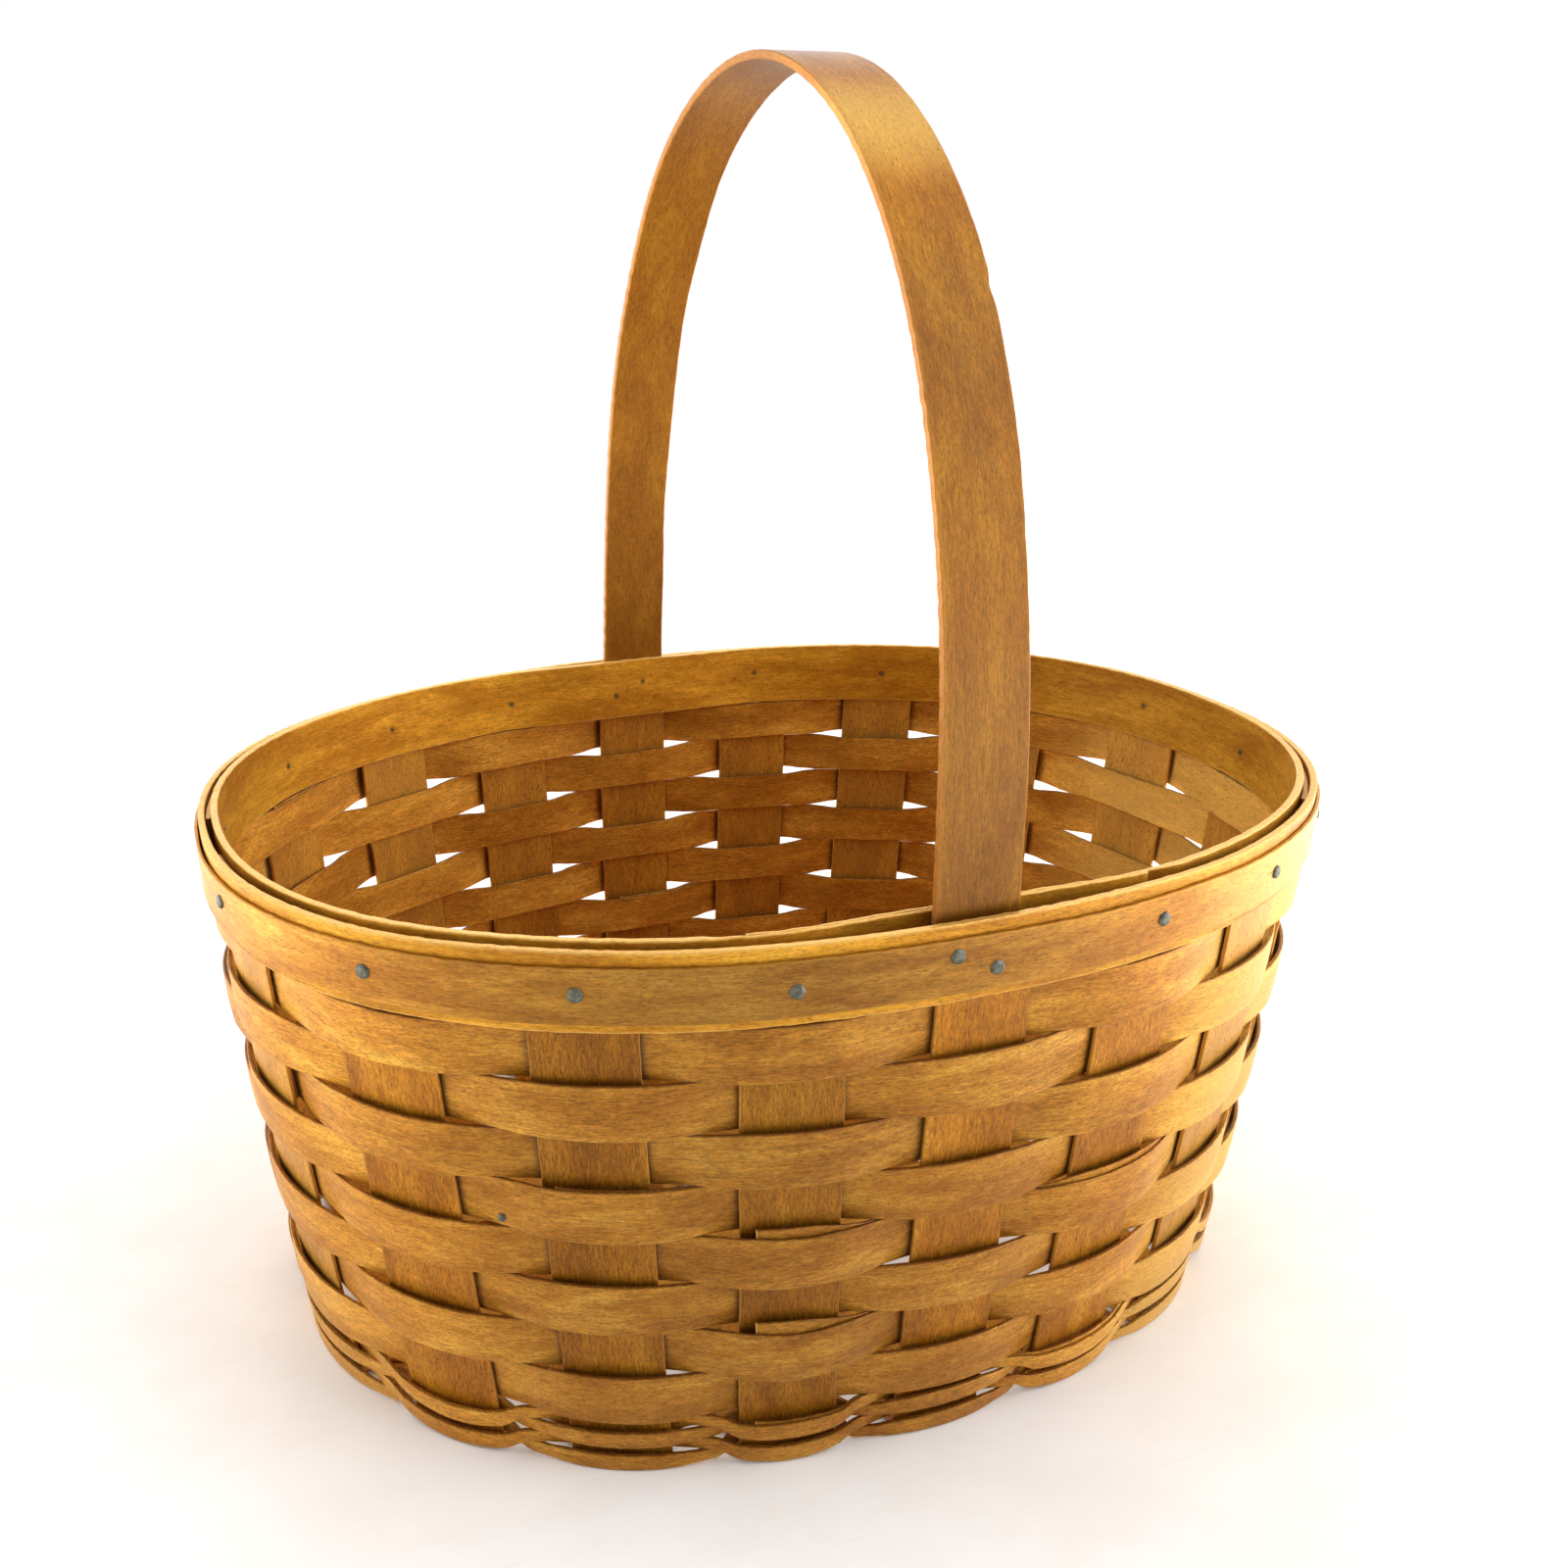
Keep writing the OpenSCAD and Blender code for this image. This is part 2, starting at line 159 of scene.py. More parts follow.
# ---- Stain and painted light ----
# A tone is how pale the wood is painted: below 0 it is dark, and from 1 on it turns to a pale painted sheen.
# Besides each strip's own stain, the tones hold painted light and shade, paler where the side lights fall.
# Each cross splint's tone at the front, the long splints' at the right, and every splint's at its other end:
# the front ones partly the splints' own stain and partly painted light, paler towards the lit ends, and the
# others painted light, on the right end, the left end and the inside of the back wall.
CROSS_TONES_AND_LIGHT, LONG_LIGHT_TONE, BACK_LIGHT_TONE = (1.1, -0.5, -0.5, 0.9, 1.3, 2.2, 2.5), 2.1, 2.0
# Painted light: the weavers and the trim strip are painted paler to the left and the right of the front,
# where the side lights fall, and at the right less so round the end. Each fade has its start and its length.
LEFT_LIGHT_TONE, RIGHT_LIGHT_TONE, RIGHT_END_LIGHT_TONE = 1.4, 2.8, 1.3
LEFT_FADE, RIGHT_FADE, END_FADE = (120.0, 80.0), (10.0, 120.0), (265.0, 70.0)
# How much of that painted light a strip takes, and how dark it is round one place on the front (on the trim
# its own darker stain): amount, place and reach
WEAVER_LIGHT_AND_DARK, TRIM_LIGHT_AND_STAIN = (1.0, 0.5, -70.0, 65.0), (0.85, 1.7, -60.0, 75.0)
# The inner band's tones at the front and at the back, painted shade in front and painted light at the back,
# with the fade between them
INNER_LIGHT_TONES, INNER_FADE = (-0.5, 0.7), (290.0, 90.0)
# What the foot rows add, and by how much each strip differs from the others
FOOT_TONE, STRIP_TONE = 0.6, 0.35

# ---- View ----
CAMERA_AZIMUTH, CAMERA_ELEVATION, CAMERA_ROLL = -17.825, 13.017, -0.574
CAMERA_TARGET = Vector((-102.69, -81.50, 255.21)) * MM
CAMERA_DISTANCE = 370.32 * MM
CAMERA_LENS, CAMERA_SHIFT = 33.635, (0.15046, -0.13198)

# ---- Light ----
# Light from everywhere, then each soft light: azimuth from the camera's side, elevation, sharpness, strength.
# The first is the shadow of whoever holds the camera.
AMBIENT = 1.15
ROOM_LIGHTS = ((10, 25, 2, -1.05), (-85, 15, 8, 2.5), (85, 15, 8, 5.0), (180, 15, 8, 2.0))
# The floor's half side, how brightly it glows in front and more so to the sides, and between which distances
# it fades into that glow, in metres
FLOOR_REACH, FLOOR_GLOW, SIDE_GLOW, GLOW_RADII = 12.0, 1.0, 5.0, (0.26, 0.8)


# ---- The oval wall ----

def oval_term(v):
    return np.sign(v) * np.abs(v) ** (2 / OVAL_POWER)


quarter_angles = np.radians(np.linspace(-90, 0, 1801))
quarter_x = oval_term(np.cos(quarter_angles)) * RIM_LENGTH / 2
quarter_y = oval_term(np.sin(quarter_angles)) * RIM_WIDTH / 2
quarter_arc = np.concatenate([[0], np.cumsum(np.hypot(np.diff(quarter_x), np.diff(quarter_y)))])
QUARTER = quarter_arc[-1]
ROUND = 4 * QUARTER


def smooth(t):
    t = np.clip(t, 0, 1)
    return t * t * (3 - 2 * t)


def fade(x, start, length):
    """0 up to the start, and from there smoothly up to 1."""
    return smooth((x - start) / length)


def hump(x, middle, reach):
    """1 at the middle, fading to nothing on both sides."""
    return np.exp(-((x - middle) / reach) ** 2)


def between(share, start, end):
    """start where the share is 0, end where it is 1."""
    return start + (end - start) * share


def taper(z):
    return (np.clip(RIM_HEIGHT - z, 0, None) / RIM_HEIGHT) ** TAPER_POWER


def level_scale(z):
    """How much shorter the wall is at height z than at the rim."""
    return 1 - (END_FLARE + SIDE_FLARE) * taper(z) * 2 / (RIM_LENGTH + RIM_WIDTH)


def wall_point(place, z):
    """The middle of the wall at a place and height, in plan."""
    s = np.mod(place, ROUND)
    right = s <= 2 * QUARTER
    from_middle = np.where(right, s, ROUND - s)
    front = from_middle <= QUARTER
    angle = np.interp(np.where(front, from_middle, 2 * QUARTER - from_middle), quarter_arc, quarter_angles)
    x = np.where(right, 1, -1) * oval_term(np.cos(angle)) * (RIM_LENGTH / 2 - END_FLARE * taper(z))
    y = np.where(front, 1, -1) * oval_term(np.sin(angle)) * (RIM_WIDTH / 2 - SIDE_FLARE * taper(z))
    return np.stack(np.broadcast_arrays(x, y), -1)


def wall_normal(place, z):
    """The way out from the wall, in plan."""
    run = wall_point(place + 2, z) - wall_point(place - 2, z)
    run /= np.linalg.norm(run, axis=-1, keepdims=True)
    return np.stack([run[..., 1], -run[..., 0]], -1)


def raised(flat, z):
    """Points of the plan, each at its height."""
    return np.concatenate([flat, z[..., None]], -1)


def wall_at(place, z, out):
    """Points at a distance out from the middle of the wall."""
    place, z, out = np.broadcast_arrays(place, z, out)
    return raised(wall_point(place, z) + wall_normal(place, z) * out[..., None], z)


def from_front(place):
    """Place measured from the middle of the front, negative on its left."""
    return np.mod(place + 2 * QUARTER, ROUND) - 2 * QUARTER


def front_share(place):
    """1 on the front, fading to 0 round the ends."""
    return 1 - fade(np.abs(from_front(place)), FRONT_REACH, FRONT_FADE)


def slip(place, z):
    """How far the weave has slipped along the wall at a place and height."""
    left = 1 - fade(from_front(place), FOOT_SLIP_END, FOOT_SLIP_FADE)
    foot = 1 - np.clip(z, 0, RIM_HEIGHT) / RIM_HEIGHT
    return front_share(place) * (FRONT_SLIP + FOOT_SLIP * foot * left)


# The uprights' middles before any slip, from the middle of the front round by the right end
middle_cross, middle_long = (CROSS_COUNT + 1) // 2, (LONG_COUNT + 1) / 2
upright_places = np.array(
    [i * CROSS_PITCH for i in range(middle_cross)]
    + [QUARTER + (i - middle_long) * LONG_PITCH for i in range(1, LONG_COUNT + 1)]
    + [2 * QUARTER + (i - middle_cross) * CROSS_PITCH for i in range(1, CROSS_COUNT + 1)]
    + [3 * QUARTER + (i - middle_long) * LONG_PITCH for i in range(1, LONG_COUNT + 1)]
    + [ROUND + (i - middle_cross) * CROSS_PITCH for i in range(1, middle_cross)])


def splint_reach(z):
    """Half a splint's width at height z, as a length along the rim."""
    return SPLINT_WIDTH / 2 / level_scale(z)


# ---- Strips ----

def wander(seed, u, amplitude, wavelength, waves=7):
    """Smooth random drift along a strip, the same on every run."""
    rng = np.random.default_rng(seed)
    total = np.zeros_like(u, dtype=float)
    for _ in range(waves):
        length = wavelength * rng.uniform(0.5, 1.9)
        total += np.sin(2 * np.pi * (u / length + rng.random()))
    return amplitude * total / math.sqrt(waves)


def rough(seed, u, *waves):
    """A rough edge: drifts of several amplitudes and wavelengths, added up."""
    return sum(wander(seed + number, u, *wave) for number, wave in enumerate(waves))


# Corners of a strip's section, going round: share of the half width, and how many bevels in from there
FACE_POINTS = ((-1, 1), (-1, 3), (-0.5, 0), (0, 0), (0.5, 0), (1, 3), (1, 1))


def section_points(low, high, thick, bevel):
    """Across and through coordinates of the corners round each section, and how much of the edge colour each
    corner takes: rubbed edges, dark on the weavers' upper edges with dirt and painted shade.
    """
    middle, half = (low + high) / 2, (high - low) / 2
    across, through, edge_wear_and_shade = [], [], []
    for side in (1, -1):
        for share, bevels in (FACE_POINTS if side > 0 else FACE_POINTS[::-1]):
            across.append(middle + share * half - np.sign(share) * bevels * bevel)
            through.append(side * thick / 2)
            edge_wear_and_shade.append(0.5 if bevels == 1 else 0.0)
        for face in (side, -side):
            across.append(middle + side * half)
            through.append(face * (thick / 2 - bevel))
            edge_wear_and_shade.append(1.0)
    return np.stack(across, 1), np.stack(through, 1), np.array(edge_wear_and_shade)


def mesh_object(name, points, faces, slot, attributes):
    """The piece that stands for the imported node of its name."""
    mesh = bpy.data.meshes.new(name)
    mesh.from_pydata((np.asarray(points) * MM).tolist(), [], faces)
    for key, values in attributes.items():
        vector = np.ndim(values) == 2
        layer = mesh.attributes.new(key, "FLOAT_VECTOR" if vector else "FLOAT", "POINT")
        layer.data.foreach_set("vector" if vector else "value", np.ravel(values).astype(np.float32))
    mesh.polygons.foreach_set("use_smooth", [True] * len(mesh.polygons))
    mesh.set_sharp_from_angle(angle=math.radians(SHARP_ANGLE))
    mesh.materials.append(finishes[slot])
    thing = bpy.data.objects.new(name, mesh)
    bpy.context.scene.collection.objects.link(thing)
    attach(thing, "root")
    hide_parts(name)


def strip(name, u, low, high, thick, place_points, slot, seed, bevel, cup=0.0, tone=0.0, low_worn=1.0,
          stain_and_shade=None, tack=None):
    """A strip of wood with rounded edges, u along it and from low to high across it.

    place_points(along, across, through) gives its points in the frame. cup is how far its middle stands out.
    low_worn sets the lower edge's rubbed colour, and below 0 how pale it is. stain gives the stains and
    the painted shade by place, and tack the tacks' stains.
    """
    across, through, edge_wear_and_shade = section_points(low, high, thick + 0 * u, bevel)
    count, corners = across.shape
    middle, half = ((low + high) / 2)[:, None], ((high - low) / 2)[:, None]
    cupped = through + cup * (1 - ((across - middle) / half) ** 2)
    along = np.repeat(u[:, None], corners, 1)
    points = place_points(along, across, cupped)
    ring = np.arange(corners)
    after = np.roll(ring, -1)
    faces = []
    for i in range(count - 1):
        here, there = i * corners, (i + 1) * corners
        faces += np.stack([here + ring, there + ring, there + after, here + after], 1).tolist()
    faces += [ring.tolist(), ((count - 1) * corners + ring)[::-1].tolist()]
    rng = np.random.default_rng(seed)
    shift = rng.uniform(0, 4000, 3)
    edge_wear_and_shade = edge_wear_and_shade * np.where(across < middle, low_worn, 1.0)
    ends = np.zeros_like(edge_wear_and_shade)
    ends[[0, 1, -2, -1]] = 1.0
    attributes = {
        "grain": np.stack([along + shift[0], across + shift[1], through + shift[2]], -1).reshape(-1, 3),
        "edge_wear_and_shade": edge_wear_and_shade.ravel(),
        "cut_end": ends.ravel(),
        "tone": (STRIP_TONE * rng.uniform(-1, 1) + np.reshape(tone, (-1, 1)) + 0 * across).ravel(),
        "stain_and_shade": (stain_and_shade(along, across, through) if stain_and_shade else np.zeros_like(across)).ravel(),
        "tack": tack(along, across) if tack else np.full((count * corners, 3), 99.0),
    }
    mesh_object(name, points.reshape(-1, 3), faces, slot, attributes)


def end_stations(start, end, step, extra=()):
    """Stations along a strip, with a close pair at each end for the cut end's bevel."""
    inner = np.arange(start + 2 * CUT_BEVEL, end - 2 * CUT_BEVEL, step)
    return np.unique(np.concatenate([[start, start + CUT_BEVEL], inner, [end - CUT_BEVEL, end], extra]))


# ---- Materials ----

def linear(*rgb):
    """Linear colour, with alpha, from an 8-bit display colour."""
    shares = (c / 255 for c in rgb)
    return tuple(c / 12.92 if c < 0.04045 else ((c + 0.055) / 1.055) ** 2.4 for c in shares) + (1,)


class Network:
    """Short calls for building the shader nodes of a material or of the world."""

    def __init__(self, owner):
        owner.use_nodes = True
        self.tree = owner.node_tree

    def put(self, socket, value):
        if isinstance(value, bpy.types.NodeSocket):
            self.tree.links.new(value, socket)
        else:
            socket.default_value = value

    def node(self, kind, *inputs, **settings):
        """A new node with its first sockets filled."""
        node = self.tree.nodes.new("ShaderNode" + kind)
        for key, value in settings.items():
            setattr(node, key, value)
        for socket, value in zip(node.inputs, inputs):
            self.put(socket, value)
        return node

    def attribute(self, name, output="Vector"):
        return self.node("Attribute", attribute_name=name).outputs[output]

    def coordinates(self, kind):
        return self.node("TexCoord").outputs[kind]

    def scaled(self, vector, sizes):
        """The vector divided by a size along each axis."""
        return self.node("VectorMath", vector, tuple(1 / s for s in sizes), operation="MULTIPLY").outputs[0]

    def noise(self, vector, detail=3.0, roughness=0.55, distortion=0.0):
        node = self.node("TexNoise")
        settings = {"Vector": vector, "Scale": 1.0, "Detail": detail, "Roughness": roughness,
                    "Distortion": distortion}
        for key, value in settings.items():
            self.put(node.inputs[key], value)
        return node.outputs["Fac"]

    def math(self, operation, a, b=0.0, c=0.0):
        return self.node("Math", a, b, c, operation=operation).outputs[0]

    def span(self, value, low, high, out_low=0.0, out_high=1.0):
        """value from low to high, smoothly carried to out_low to out_high."""
        return self.node("MapRange", value, low, high, out_low, out_high,
                         interpolation_type="SMOOTHSTEP").outputs[0]

    def mix(self, factor, a, b):
        node = self.node("Mix", factor, data_type="RGBA")
        self.put(node.inputs[6], a)
        self.put(node.inputs[7], b)
        return node.outputs[2]

    def shade(self, colour, factor):
        """The colour times a number."""
        node = self.node("VectorMath", colour, operation="SCALE")
        self.put(node.inputs["Scale"], factor)
        return node.outputs[0]

    def length(self, vector):
        return self.node("VectorMath", vector, operation="LENGTH").outputs["Value"]

    def along(self, vector, direction):
        """How far the vector reaches in a direction."""
        return self.node("VectorMath", vector, tuple(direction), operation="DOT_PRODUCT").outputs["Value"]

    def paint(self, shader="Principled BSDF", **settings):
        """Settings of a shader by its sockets' names, with _ for a space."""
        for key, value in settings.items():
            self.put(self.tree.nodes[shader].inputs[key.replace("_", " ")], value)

    def show_mix(self, output, factor, shader, other):
        """Leads a mix of the tree's own shader and another one to its output."""
        mixed = self.node("MixShader", factor, self.tree.nodes[shader].outputs[0], other.outputs[0])
        self.put(self.tree.nodes[output].inputs["Surface"], mixed.outputs[0])

    def bump(self, height, strength, distance):
        node = self.node("Bump")
        for key, value in {"Strength": strength, "Distance": distance, "Height": height}.items():
            self.put(node.inputs[key], value)
        self.paint(Normal=node.outputs[0])


finishes = {}


def new_finish(name):
    """The network of a new material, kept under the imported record's name for it."""
    finishes[name] = bpy.data.materials.new(name)
    return Network(finishes[name])


def wood(name, dark, middle, light, edge, cloud=(46.0, 11.0), rings=0.16, flecks=0.5, edge_strength=0.8,
         fine=0.75, tack_reach=2.4, tack_stain=0.85, sheen_share=0.55):
    """Varnished maple: cloudy staining, growth rings, fine fibres, short dark pores, rubbed edges (on the
    weavers' upper edges dark with dirt and painted shade), and painted light and a pale painted sheen by
    tone.
    """
    net = new_finish(name)
    grain = net.attribute("grain")
    edge_wear_and_shade = net.attribute("edge_wear_and_shade", "Fac")
    cut_end = net.attribute("cut_end", "Fac")
    tone = net.attribute("tone", "Fac")
    stain_and_shade = net.attribute("stain_and_shade", "Fac")
    tack = net.attribute("tack")

    def figure(length, width, detail, roughness, distortion=0.0):
        """Noise whose features have this length along the grain and this width across it."""
        return net.noise(net.scaled(grain, (length, width, width)), detail, roughness, distortion)

    # The wood's figure, from the largest features to the finest
    contours = figure(150.0, 15.0, 1.0, 0.4, 0.2)
    ring_lines = net.math("PINGPONG", net.math("MULTIPLY", contours, 26.0), 1.0)
    clouds = figure(*cloud, 4.0, 0.6, 0.3)
    streaks = figure(30.0, 0.9, 4.0, 0.6)
    mottle = figure(5.5, 2.2, 5.0, 0.7)
    fibres = figure(4.5, 0.42, 3.0, 0.65)
    pores = figure(1.9, 0.36, 1.0, 0.5)
    speckle = figure(1.4, 0.55, 2.0, 0.75)
    fuzz = figure(1.3, 0.5, 3.0, 0.6)

    # Stain, growth rings and fibres
    colour = net.mix(net.span(clouds, 0.36, 0.60), dark, middle)
    colour = net.mix(net.span(clouds, 0.52, 0.74), colour, light)
    colour = net.mix(net.span(mottle, 0.46, 0.72, 0.0, 0.30), colour, light)
    colour = net.mix(net.span(mottle, 0.54, 0.32, 0.0, 0.30), colour, dark)
    colour = net.mix(net.span(streaks, 0.50, 0.72, 0.0, 0.35), colour, dark)
    colour = net.mix(net.span(ring_lines, 0.55, 1.0, 0.0, rings), colour, dark)
    shading = net.math("MULTIPLY", net.span(fibres, 0.36, 0.66, 1 + 0.26 * fine, 1 - 0.28 * fine),
                       net.span(speckle, 0.36, 0.66, 1 + 0.24 * fine, 1 - 0.24 * fine))
    # The tone lightens or darkens the colour and from 1.2 on mixes in a pale painted sheen: partly each
    # strip's own stain, and partly painted light and shade where the lights fall
    colour = net.shade(colour, net.math("MULTIPLY", shading, net.span(tone, -2.0, 3.0, 0.6, 1.6)))
    colour = net.mix(net.span(tone, 1.2, 2.8, 0.0, sheen_share), colour, PAINTED_SHEEN)
    # Pores, the hands' stains and the painted shade in the weavers' corners, the tacks' stains, and worn
    # edges, on the weavers' upper edges dark with dirt and painted shade
    colour = net.mix(net.span(pores, 0.60, 0.69, 0.0, flecks), colour, PORE)
    colour = net.mix(net.span(stain_and_shade, 0.05, 1.0, 0.0, 0.85), colour, STAIN_AND_SHADE_COLOUR)
    from_tack = net.math("MULTIPLY_ADD", mottle, 1.4, net.length(tack))
    colour = net.mix(net.span(from_tack, tack_reach + 0.7, 0.9, 0.0, tack_stain), colour, STAIN_AND_SHADE_COLOUR)
    wear_and_shade_mix = net.math("MULTIPLY", net.span(edge_wear_and_shade, 0.05, 0.95, 0.0, edge_strength),
                    net.span(fuzz, 0.30, 0.62, 0.45, 1.0))
    colour = net.mix(wear_and_shade_mix, colour, edge)
    colour = net.mix(net.span(edge_wear_and_shade, -0.05, -0.95, 0.0, 0.45), colour, SOFT_EDGE)
    colour = net.mix(net.math("MULTIPLY", cut_end, 0.85), colour, PALE_CUT)

    roughness = net.math("MULTIPLY_ADD", streaks, 0.2, 0.36)
    net.paint(Base_Color=colour, Roughness=roughness, Metallic=0.4, Specular_IOR_Level=0.2,
              Coat_Weight=0.04, Coat_Roughness=0.3)
    net.bump(net.math("MULTIPLY_ADD", fibres, 0.6, net.math("MULTIPLY", pores, -0.6)), 0.45, 0.16 * MM)


def steel(name):
    """Dull bare steel with oxide bloom and small scratches."""
    net = new_finish(name)
    place = net.attribute("grain")
    bloom = net.noise(net.scaled(place, (1.6, 1.6, 1.6)), 4.0, 0.6)
    scratch = net.noise(net.scaled(place, (3.0, 0.12, 0.4)), 2.0, 0.6)
    colour = net.mix(net.span(bloom, 0.35, 0.68), linear(66, 65, 54), linear(108, 106, 92))
    colour = net.mix(net.span(bloom, 0.58, 0.78, 0.0, 0.5), colour, linear(70, 56, 38))
    net.paint(Base_Color=colour, Metallic=0.5, Roughness=net.span(scratch, 0.3, 0.7, 0.36, 0.60))
    net.bump(bloom, 0.4, 0.18 * MM)


# Pores; a dark colour for stains, which also paints shade in the weavers' corners; a pale painted sheen; then
# edge colours, the weavers' dark one being dirt and painted shade
PORE, STAIN_AND_SHADE_COLOUR, PAINTED_SHEEN = linear(96, 54, 14), linear(70, 52, 34), linear(230, 190, 98)
DIRT_AND_SHADE_EDGE, SOFT_EDGE, HANDLE_EDGE = linear(88, 48, 14), linear(203, 148, 65), linear(180, 120, 56)
PALE_EDGE, PALE_CUT = linear(228, 180, 98), linear(221, 169, 84)
wood("splint_wood", linear(133, 79, 11), linear(157, 100, 19), linear(173, 118, 30), SOFT_EDGE,
     cloud=(60.0, 16.0), rings=0.10, flecks=0.7, edge_strength=0.6, fine=0.8, sheen_share=0.35)
wood("weaver_wood", linear(150, 94, 21), linear(179, 122, 38), linear(196, 145, 55), DIRT_AND_SHADE_EDGE,
     edge_strength=0.7)
wood("band_wood", linear(171, 110, 20), linear(204, 144, 37), linear(225, 167, 51), PALE_EDGE,
     cloud=(52.0, 13.0), edge_strength=0.95, fine=0.5, tack_reach=2.0)
wood("trim_wood", linear(147, 92, 22), linear(175, 120, 38), linear(192, 141, 54), SOFT_EDGE,
     cloud=(48.0, 10.0), edge_strength=0.5, fine=0.6, tack_stain=0.35)
wood("handle_wood", linear(134, 82, 14), linear(149, 96, 19), linear(160, 109, 25), HANDLE_EDGE,
     cloud=(40.0, 14.0), rings=0.10, edge_strength=0.7, fine=0.6)
steel("tack_steel")


# ---- Splints ----

def splint_points(front_place, back_place, axis, levels):
    """The points of one splint, from one upright's top down, across the base and up to the other's top.

    axis is 1 for a splint that runs across the basket and 0 for one that runs along it. levels(run, side)
    gives its height over the base at a distance along that axis and one across it.
    """
    top = RIM_HEIGHT - UPRIGHT_DROP
    wall_length = top - CORNER_HEIGHT
    bend_length = CORNER_RADIUS * math.pi / 2
    centre = 1 - axis
    half = SPLINT_WIDTH / 2
    ends = ((front_place, 1), (back_place, -1))

    def corner(place, side, j):
        """The wall's normal at the corner, and where the base begins, for a line at j half widths."""
        edge = place + slip(place, CORNER_HEIGHT) + side * j * splint_reach(CORNER_HEIGHT)
        normal = wall_normal(edge, CORNER_HEIGHT)
        return normal, wall_point(edge, CORNER_HEIGHT) - normal * CORNER_RADIUS

    edges = np.array([-1.0, 1.0])
    inset = [np.abs(corner(*end, edges)[1][:, axis]).min() - STRAIGHT_INSET for end in ends]
    middle = [wall_point(np.float64(place + slip(place, CORNER_HEIGHT)), np.float64(CORNER_HEIGHT))[centre]
              for place, side in ends]
    sign = np.sign(corner(front_place, 1, np.array([0.0]))[1][0, axis])
    lengths = [wall_length, bend_length, FAN_LENGTH]
    marks = np.cumsum([0] + lengths + [sum(inset)] + lengths[::-1])

    def middle_at(run):
        """The splint's middle line in the base, which runs a little askew."""
        return between((sign * inset[0] - run) / (sign * sum(inset)), *middle)

    def end_points(number, u, j, through):
        """Down the wall, round the corner, and along a fan that narrows to the straight part of the base."""
        place, side = ends[number]
        down = marks[-1] - u if number else u
        z = np.where(down <= wall_length, top - down, CORNER_HEIGHT)
        wall = wall_at(place + slip(place, z) + side * j * splint_reach(z), z, through)
        normal, start = corner(place, side, j)
        turn = np.clip((down - wall_length) / CORNER_RADIUS, 0, math.pi / 2)
        radius = CORNER_RADIUS + through
        outward = normal * (radius * np.cos(turn))[..., None]
        bend = raised(start + outward, CORNER_HEIGHT - radius * np.sin(turn))
        t = np.clip((down - wall_length - bend_length) / FAN_LENGTH, 0, 1)[..., None]
        goal, onward = np.zeros_like(start), np.zeros_like(start)
        goal[..., axis] = np.sign(start[..., axis]) * inset[number]
        goal[..., centre] = middle[number] + j * half
        onward[..., axis] = -np.sign(start[..., axis])
        gap = np.linalg.norm(goal - start, axis=-1, keepdims=True)
        curve = ((2 * t**3 - 3 * t**2 + 1) * start - (t**3 - 2 * t**2 + t) * gap * normal
                 + (3 * t**2 - 2 * t**3) * goal + (t**3 - t**2) * gap * onward)
        fan = raised(curve, levels(curve[..., axis], curve[..., centre]) - through)
        down = down[..., None]
        return np.where(down <= wall_length, wall, np.where(down < wall_length + bend_length, bend, fan))

    def base_points(u, j, through):
        """The straight part of the base."""
        run = sign * (inset[0] - (u - marks[3]))
        aside = middle_at(run) + j * half
        points = np.zeros(u.shape + (3,))
        points[..., axis], points[..., centre], points[..., 2] = run, aside, levels(run, aside) - through
        return points

    def place_points(u, across, through):
        j = across / half
        first, last = (u <= marks[3])[..., None], (u >= marks[4])[..., None]
        return np.where(first, end_points(0, u, j, through),
                        np.where(last, end_points(1, u, j, through), base_points(u, j, through)))

    stops = np.concatenate([[2 * CUT_BEVEL], marks[1:-1], [marks[-1] - 2 * CUT_BEVEL]])
    stretches = [np.linspace(*stop, count)[1:] for *stop, count in zip(stops, stops[1:], STATION_COUNTS)]
    u = np.concatenate([[0, CUT_BEVEL, 2 * CUT_BEVEL]] + stretches + [[marks[-1] - CUT_BEVEL, marks[-1]]])
    return u, place_points, middle_at


def splint(name, front_place, back_place, axis, levels, seed, front_tone):
    """One splint with its two uprights, whose tone, partly painted light, fades from the front one to the
    back one. Returns its middle line in the base.
    """
    u, place_points, middle_at = splint_points(front_place, back_place, axis, levels)
    waves = ((0.12, 60), (0.05, 9))
    low = -SPLINT_WIDTH / 2 + rough(seed, u, *waves)
    high = SPLINT_WIDTH / 2 + rough(seed + 2, u, *waves)
    strip(name, u, low, high, SPLINT_THICK, place_points, "splint_wood", seed=seed, bevel=0.2,
          tone=between(smooth(u / u[-1]), front_tone, BACK_LIGHT_TONE))
    return middle_at


def level_base(run, side):
    """Height of every cross splint over the base, the same all over."""
    return CROSS_LEVEL + 0 * run


def long_levels(number, middles):
    """Height of a long splint over the base: under and over the cross splints in turn."""
    flat = SPLINT_WIDTH / 2 + LONG_FLAT

    def levels(x, y):
        centres = [middle(y) for middle in middles]
        z = np.zeros_like(x)
        for i, centre in enumerate(centres):
            step = LAYER_STEP if (i + 1 + number) % 2 == 0 else -LAYER_STEP
            before = centres[i - 1] + flat if i else centre - flat - END_RISE
            after = centres[i + 1] - flat if i + 1 < CROSS_COUNT else centre + flat + END_RISE
            lead = smooth((x - before) / (centre - flat - before))
            lag = smooth((after - x) / (after - centre - flat))
            z = z + step * np.where(x < centre, lead, lag)
        return CROSS_LEVEL + z

    return levels


